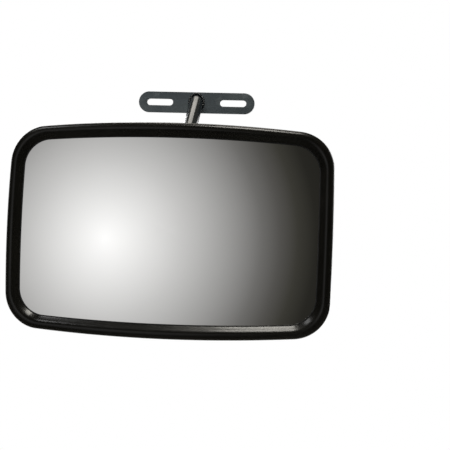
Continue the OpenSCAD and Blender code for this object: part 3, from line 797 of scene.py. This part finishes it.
def make_knob():
    """Six-lobed hand knob with rounded lobes, along +X from its box, and the brass insert in it."""
    lo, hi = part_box("tilt_knob")
    height = hi[0] - lo[0]
    big, steps, lobes = 0.016, 144, 6
    collar_r, insert_r, insert_h = 0.0090, 0.0065, 0.012
    angles = [2 * math.pi * i / steps for i in range(steps)]

    def lobed(scale, z, depth=1.0):
        points = []
        for g in angles:
            wave = 0.5 + 0.5 * math.cos(lobes * g + math.pi)
            r = scale * big * (1 - 0.165 * depth * (1 - wave) ** 1.6)
            points.append((r * math.cos(g), r * math.sin(g), z))
        return points

    def circle(r, z):
        return [(r * math.cos(g), r * math.sin(g), z) for g in angles]

    bore_end = height - 0.0045
    rings = [circle(NEAR_AXIS, bore_end), circle(BOLT_HOLE_R, bore_end), circle(BOLT_HOLE_R, insert_h),
             circle(insert_r, insert_h), circle(insert_r, 0.0003), circle(insert_r + 0.0003, 0.0),
             circle(collar_r - 0.0006, 0.0), circle(collar_r, 0.0006), circle(collar_r, 0.0036),
             circle(collar_r + 0.0004, 0.0040)]
    rings += [lobed(0.90, 0.0042), lobed(0.965, 0.0048), lobed(0.995, 0.0060), lobed(1.0, 0.0075),
              lobed(1.0, height - 0.0050), lobed(0.985, height - 0.0032), lobed(0.94, height - 0.0016),
              lobed(0.86, height - 0.0005), lobed(0.76, height, 0.6), circle(0.0088, height),
              circle(0.0082, height - 0.0006), circle(0.0078, height - 0.0009),
              circle(0.004, height - 0.0006)]
    place = axes(Vector((lo[0], pivot_at[1], pivot_at[2])), -Z, Y, X)
    piece("lobed_knob", *moved(skin(rings), place), "knob", "knob_plastic", ["tilt_knob"], sharp=40)
    insert = washer(0.00405, insert_r, insert_h)
    piece("brass_insert", *moved(insert, place), "knob", "insert_brass", ["knob_insert"])


def keep(obj, slot_name):
    """Gives a CAD node that stays as it is its finish."""
    for slot in obj.material_slots:
        slot.material = FINISHES[slot_name]
    if not obj.material_slots:
        obj.data.materials.append(FINISHES[slot_name])


def soften_edges(obj, width):
    """Joins a CAD node's split faces and rounds its edges."""
    join = obj.modifiers.new("join_faces", "WELD")
    join.merge_threshold = 0.00001
    flat = obj.modifiers.new("merge_flats", "DECIMATE")
    flat.decimate_type = "DISSOLVE"
    flat.angle_limit = math.radians(1)
    bevel = obj.modifiers.new("soften", "BEVEL")
    bevel.width = width
    bevel.segments = 3
    bevel.limit_method = "ANGLE"
    bevel.angle_limit = math.radians(40)
    bevel.harden_normals = True


make_bezel()
make_gasket()
make_mirror()
make_cover()
make_wall_plate()
make_arm()
make_sleeve()
make_jaws()
make_yoke()
make_clamp_fasteners()
make_knob()
for item in frame["record"]["subparts"]:
    cad_node = frame["nodes"][item["node"]]
    if not cad_node.hide_render:
        keep(cad_node, item["material_slot"])
soften_edges(frame["nodes"]["backing_plate"], 0.0003)

# ---- Stage: floor, light and camera ----


def make_floor():
    """A round pale floor below the object, with a painted glow."""
    radius, drop, steps = 1.4, 0.42, 96
    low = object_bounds()[0][2] - drop
    mesh = bpy.data.meshes.new("floor")
    mesh.from_pydata([(x, y, low) for x, y in arc((0, -0.1), radius, 0, 2 * math.pi, steps)], [],
                     [tuple(range(steps))])
    mat = bpy.data.materials.new("floor")
    mat.use_nodes = True
    shader = mat.node_tree.nodes["Principled BSDF"]
    tree = mat.node_tree
    coords = node(tree, "ShaderNodeTexCoord").outputs["Object"]
    shade = node(tree, "ShaderNodeMix", data_type="RGBA")
    tree.links.new(noise(tree, coords, 3.0), shade.inputs["Factor"])
    set_inputs(shade, {"A": (0.86, 0.86, 0.855, 1), "B": (0.90, 0.90, 0.895, 1)})
    tree.links.new(shade.outputs["Result"], shader.inputs["Base Color"])
    set_inputs(shader, {"Roughness": 0.8, "Emission Color": (1, 1, 1, 1)})
    # Painted glow: the whole floor glows, faintly in its middle and as white as the background at its rim, so that
    # its edge doesn't show
    middle = node(tree, "ShaderNodeVectorMath", operation="LENGTH")
    tree.links.new(coords, middle.inputs[0])
    tree.links.new(ramp(tree, middle.outputs["Value"], 0.42, 1.0, 0.5 * radius, 0.9 * radius),
                   shader.inputs["Emission Strength"])
    mesh.materials.append(mat)
    floor = bpy.data.objects.new("floor", mesh)
    bpy.context.scene.collection.objects.link(floor)
    floor.visible_glossy = False


def make_world():
    """White to the camera; to all else a soft round glow that fades to dark, as one studio lamp gives."""
    glow = Vector((-0.3546, -0.9350, 0.0014)).normalized()
    # Brightness from the lamp's middle outward; places are shares of 60 degrees
    fall = [(0.0, 1.12), (0.26, 0.61), (0.52, 0.162), (0.58, 0.093), (0.64, 0.046), (0.70, 0.022),
            (0.78, 0.017), (1.0, 0.03)]
    world = bpy.data.worlds.new("studio")
    bpy.context.scene.world = world
    world.use_nodes = True
    tree = world.node_tree
    tree.nodes.clear()
    out = node(tree, "ShaderNodeOutputWorld")
    coords = node(tree, "ShaderNodeTexCoord").outputs["Generated"]
    dot = node(tree, "ShaderNodeVectorMath", operation="DOT_PRODUCT")
    tree.links.new(coords, dot.inputs[0])
    dot.inputs[1].default_value = glow
    angle = node(tree, "ShaderNodeMath", operation="ARCCOSINE")
    tree.links.new(dot.outputs["Value"], angle.inputs[0])
    share = ramp(tree, angle.outputs[0], 0, 1, 0, math.radians(60))
    shades = node(tree, "ShaderNodeValToRGB")
    elements = shades.color_ramp.elements
    while len(elements) < len(fall):
        elements.new(1.0)
    for element, (at, value) in zip(elements, fall):
        element.position = at
        # The darker it gets, the warmer
        element.color = (value, value - min(0.035 * value, 0.003), value - min(0.2 * value, 0.009), 1)
    tree.links.new(share, shades.inputs["Fac"])
    lamp = node(tree, "ShaderNodeBackground")
    tree.links.new(shades.outputs["Color"], lamp.inputs["Color"])
    # The side of the room behind the object is a little lighter, so that the mirror never reads as flat
    tree.links.new(ramp(tree, angle.outputs[0], 1, 4, math.radians(58), math.radians(125)),
                   lamp.inputs["Strength"])
    plain = node(tree, "ShaderNodeBackground")
    set_inputs(plain, {"Color": (1, 1, 1, 1)})
    path = node(tree, "ShaderNodeLightPath")
    both = node(tree, "ShaderNodeMixShader")
    tree.links.new(path.outputs["Is Camera Ray"], both.inputs["Fac"])
    tree.links.new(lamp.outputs["Background"], both.inputs[1])
    tree.links.new(plain.outputs["Background"], both.inputs[2])
    tree.links.new(both.outputs["Shader"], out.inputs["Surface"])


def softbox(name, at, aim, size, power, tint=(1, 1, 1), shape="RECTANGLE"):
    """An area light at a place, turned to a point."""
    light = bpy.data.lights.new(name, "AREA")
    light.shape = shape
    light.size, light.size_y = size
    light.energy = power
    light.color = tint
    lamp = bpy.data.objects.new(name, light)
    lamp.location = at
    lamp.rotation_euler = (Vector(aim) - Vector(at)).to_track_quat("-Z", "Y").to_euler()
    bpy.context.scene.collection.objects.link(lamp)


def make_lights():
    """Soft lights above, at both sides and behind, in watts."""
    middle = (0, -0.2, -0.2)
    softbox("top_left", (-1.05, -0.7, 1.25), middle, (0.45, 0.5), 5.5)
    softbox("top_right", (0.26, -0.65, 1.35), middle, (0.6, 0.55), 18, (1, 0.97, 0.89), "ELLIPSE")
    softbox("top_back", (-0.1, 0.75, 1.5), middle, (0.9, 0.5), 5, (1, 0.96, 0.88))
    softbox("left_strip", (-1.6, 0.9, 0.1), middle, (0.4, 1.3), 2)
    softbox("right_fill", (1.7, 0.9, 0.4), middle, (0.8, 1.0), 4)
    softbox("back_left", (-1.2, 1.9, 0.8), middle, (1.6, 1.3), 30)
    softbox("back_right", (1.3, 1.8, 0.1), middle, (1.0, 1.4), 20)
    softbox("under", (0.0, 0.6, -0.7), middle, (1.0, 0.6), 3)


def make_camera():
    """Looks at the head from 1.5 m, a little from its right and from below."""
    yaw, pitch, roll = (math.radians(a) for a in (-5.57, -2.35, -2.09))
    offset = Vector((-0.0817, -0.0071, -1.500))
    turn = Matrix.Rotation(roll, 3, "Z") @ Matrix.Rotation(pitch, 3, "X") @ Matrix.Rotation(yaw, 3, "Y")
    # Head's own axes: X right, Y up, Z towards the viewer, from the middle of its outline
    head_axes = axes(Vector((0, apex_y - SHOULDER, head_z)), X, Z, -Y)
    local = turn.transposed().to_4x4()
    local.translation = -(turn.transposed() @ offset)
    data = bpy.data.cameras.new("camera")
    data.sensor_width = 36
    data.lens = 87.9
    data.clip_start = 0.05
    camera = bpy.data.objects.new("camera", data)
    camera.matrix_world = head_axes @ local
    bpy.context.scene.collection.objects.link(camera)
    bpy.context.scene.camera = camera


make_floor()
make_world()
make_lights()
make_camera()
bpy.context.scene.view_settings.view_transform = "Standard"
